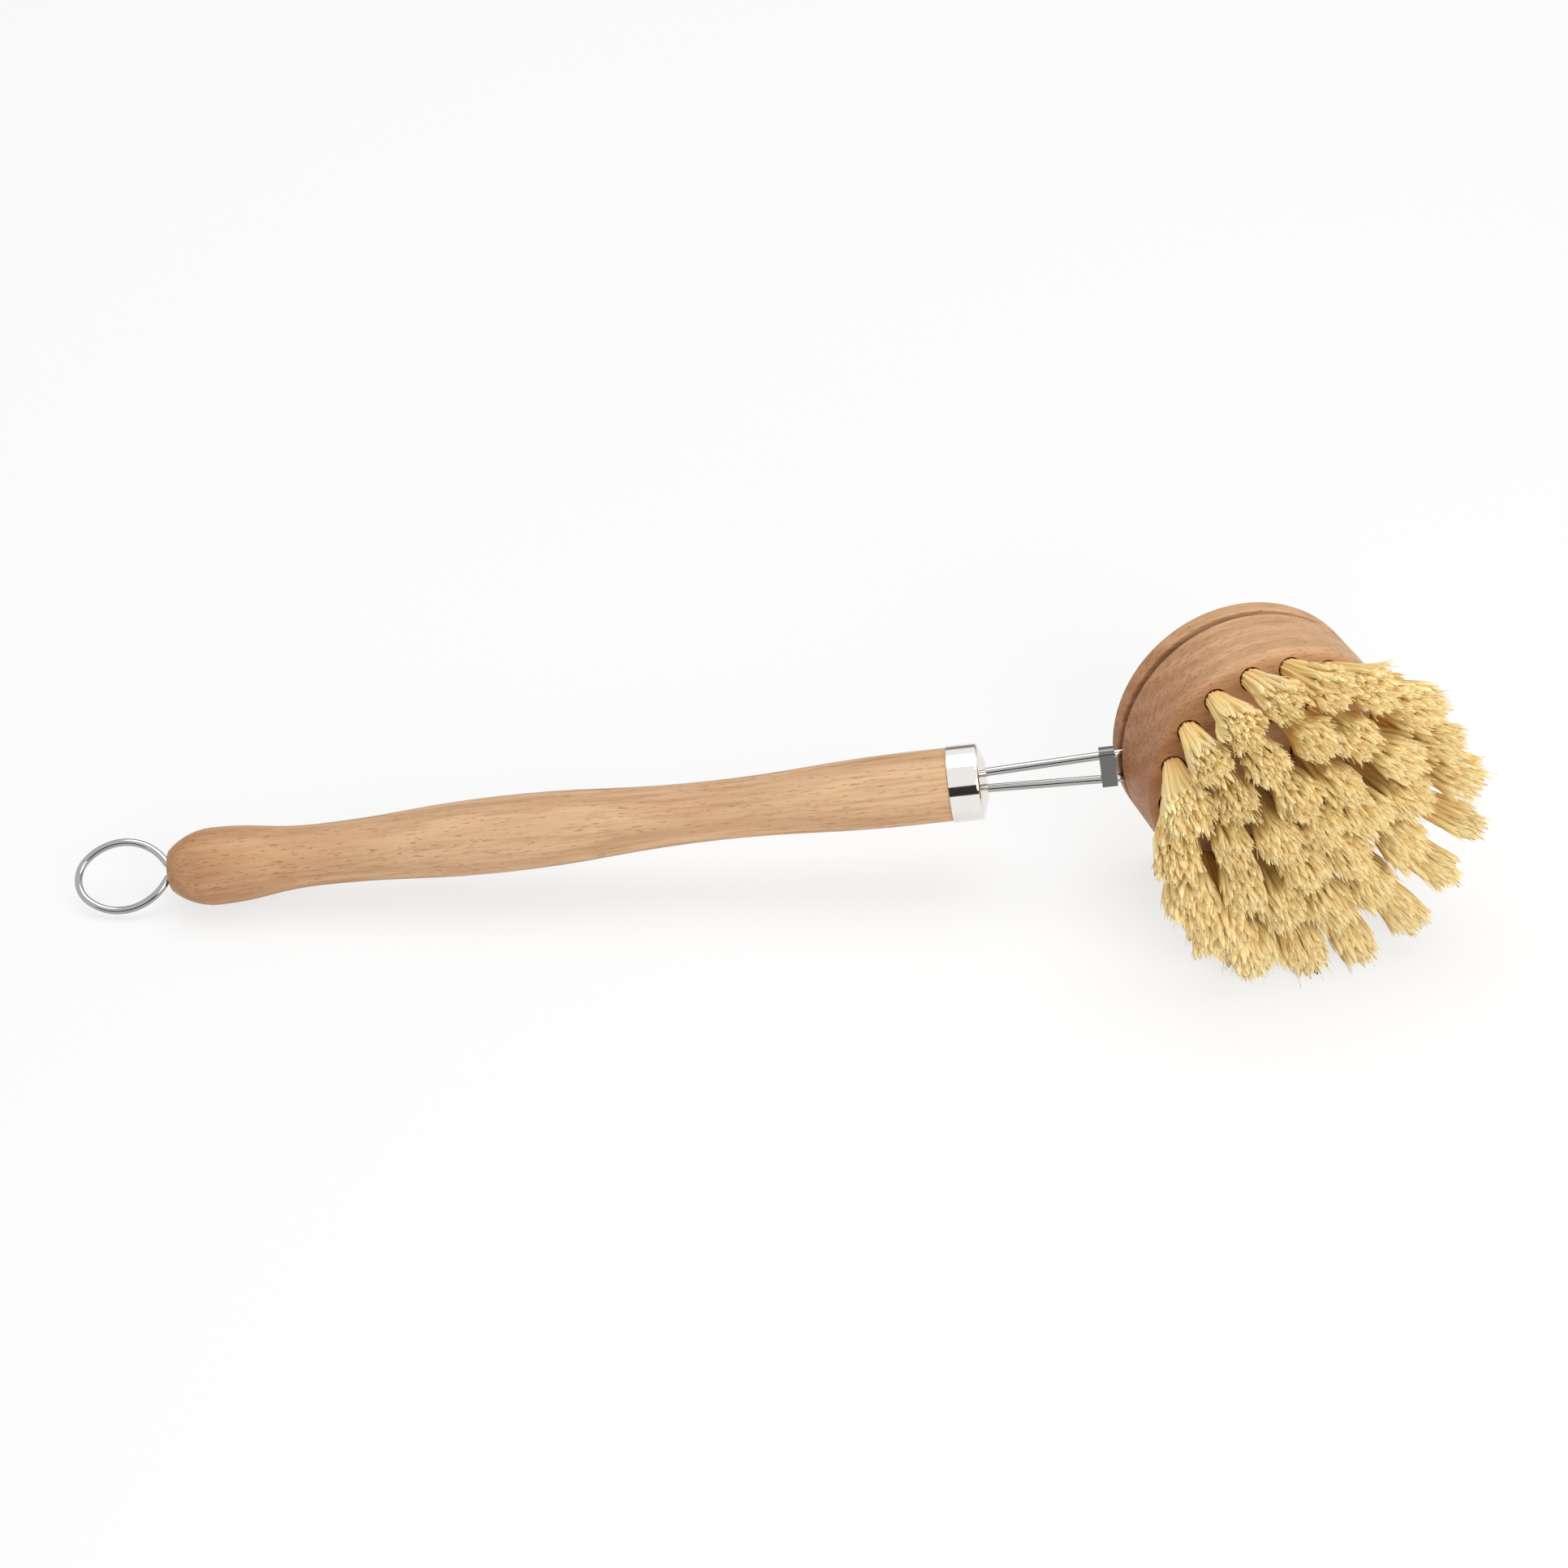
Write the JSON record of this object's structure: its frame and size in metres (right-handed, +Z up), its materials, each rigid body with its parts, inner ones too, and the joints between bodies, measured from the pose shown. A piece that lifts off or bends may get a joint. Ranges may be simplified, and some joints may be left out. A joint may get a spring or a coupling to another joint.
{
  "type": "dish brush",
  "caption": "Wooden washing-up brush with a waisted handle, a spring-wire neck with a locking sleeve, and an exchangeable round head of plant-fibre tufts.",
  "frame": {"origin": "middle of the brush's outer box, on the surface that it lies on", "axes": "+Z up, +X along the handle towards the head, -Y the side that the bristles face"},
  "size_m": [0.2676, 0.0576, 0.062],
  "materials": {
    "handle_wood": "satin",
    "head_wood": "satin",
    "bright_metal": "polished",
    "anchor_metal": "plain",
    "fibre": "matte"
  },
  "bodies": {
    "stick": {"handle": "handle_wood", "ferrule": "bright_metal", "hanging_loop": "bright_metal"},
    "upper_arm": {"upper_wire_arm": "bright_metal"},
    "lower_arm": {"lower_wire_arm": "bright_metal"},
    "sleeve": {"locking_sleeve": "bright_metal"},
    "head": {"head_block": "head_wood", "tuft_anchors": "anchor_metal", "tuft_centre": "fibre", "tuft_inner_01": "fibre", "tuft_inner_02": "fibre", "tuft_inner_03": "fibre", "tuft_inner_04": "fibre", "tuft_inner_05": "fibre", "tuft_inner_06": "fibre", "tuft_middle_01": "fibre", "tuft_middle_02": "fibre", "tuft_middle_03": "fibre", "tuft_middle_04": "fibre", "tuft_middle_05": "fibre", "tuft_middle_06": "fibre", "tuft_middle_07": "fibre", "tuft_middle_08": "fibre", "tuft_middle_09": "fibre", "tuft_middle_10": "fibre", "tuft_middle_11": "fibre", "tuft_middle_12": "fibre", "tuft_outer_01": "fibre", "tuft_outer_02": "fibre", "tuft_outer_03": "fibre", "tuft_outer_04": "fibre", "tuft_outer_05": "fibre", "tuft_outer_06": "fibre", "tuft_outer_07": "fibre", "tuft_outer_08": "fibre", "tuft_outer_09": "fibre", "tuft_outer_10": "fibre", "tuft_outer_11": "fibre", "tuft_outer_12": "fibre", "tuft_outer_13": "fibre", "tuft_outer_14": "fibre", "tuft_outer_15": "fibre", "tuft_outer_16": "fibre", "tuft_outer_17": "fibre", "tuft_outer_18": "fibre"}
  },
  "joints": [
    {"name": "sleeve_slide", "type": "slide", "parent": "stick", "child": "sleeve", "axis": [-0.9956, 0, -0.0936], "range_m": [0, 0.019]},
    {"name": "upper_arm_spread", "type": "hinge", "parent": "stick", "child": "upper_arm", "pos_m": [0.0438, 0.00961, 0.02334], "axis": [0.271, -0.9506, 0.1517], "range_deg": [0, 3.2]},
    {"name": "lower_arm_spread", "type": "hinge", "parent": "stick", "child": "lower_arm", "pos_m": [0.04412, 0.00915, 0.01989], "axis": [-0.271, 0.9506, -0.1517], "range_deg": [0, 3.2]},
    {"name": "head_turn", "type": "hinge", "parent": "stick", "child": "head", "pos_m": [0.09338, 0.01656, 0.02531], "axis": [0.271, -0.9506, 0.1517], "continuous": true}
  ],
  "couplings": [
    {"joint": "upper_arm_spread", "follows": "sleeve_slide", "rad_per_m": 2.9394},
    {"joint": "lower_arm_spread", "follows": "sleeve_slide", "rad_per_m": 2.9394}
  ]
}
